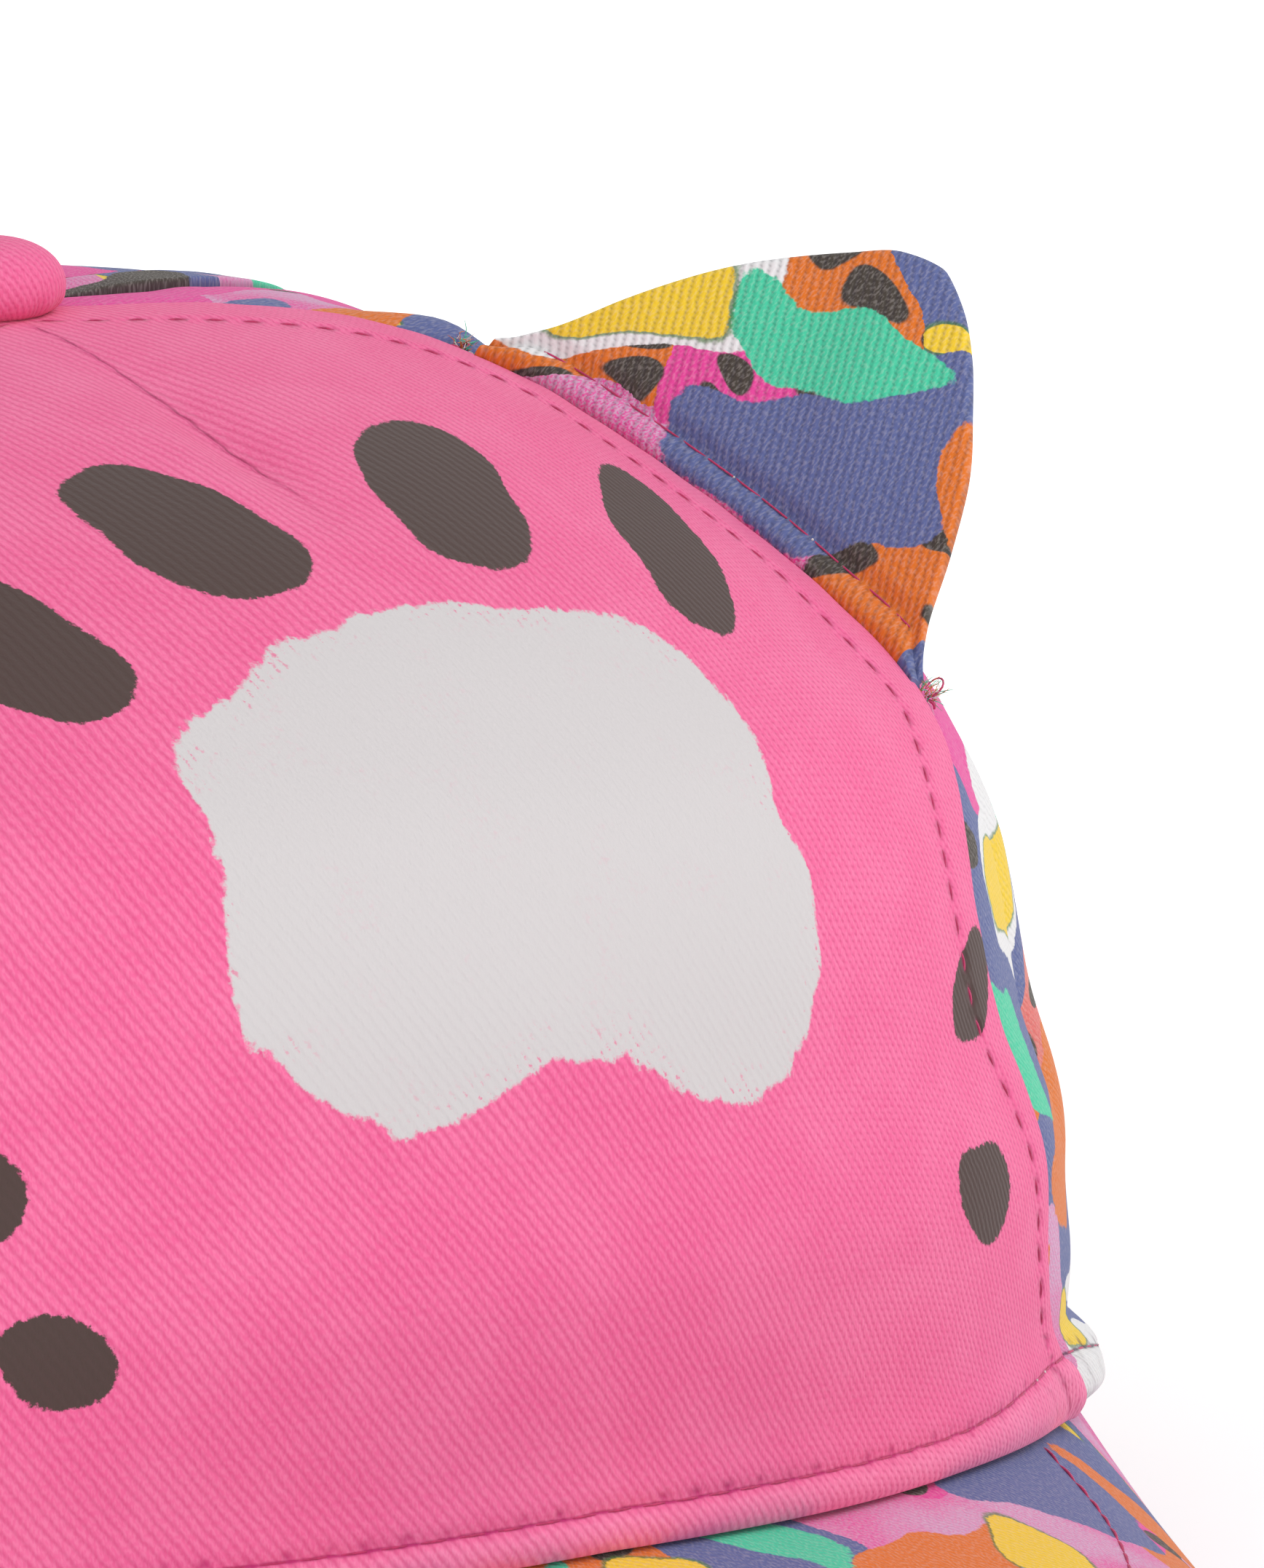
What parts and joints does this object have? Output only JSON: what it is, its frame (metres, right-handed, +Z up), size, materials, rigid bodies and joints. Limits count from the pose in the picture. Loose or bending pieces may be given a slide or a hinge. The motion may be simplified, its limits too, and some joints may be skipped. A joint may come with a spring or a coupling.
{
  "type": "child's animal ear cap",
  "caption": "Child's soft panelled cap with a curved peak, a covered top button and small standing ears caught in its front seams.",
  "frame": {"origin": "on the surface that the cap rests on, under the middle of the whole cap", "axes": "+Z up, the peak towards -Y, +X to the right of a viewer who faces the front"},
  "size_m": [0.1582, 0.2376, 0.1024],
  "materials": {
    "pink_twill": "matt cotton twill with magenta stitching",
    "printed_twill": "matt cotton twill printed in bright patches",
    "pink_tape": "plain woven cotton tape"
  },
  "bodies": {
    "root": {"front_panel": "pink_twill", "side_panel_right": "printed_twill", "side_panel_left": "printed_twill", "back_panel_right": "printed_twill", "back_panel_left": "printed_twill", "ear_right": "printed_twill", "ear_left": "printed_twill", "brim": "printed_twill", "sweatband": "pink_tape", "button": "pink_twill"}
  },
  "joints": []
}
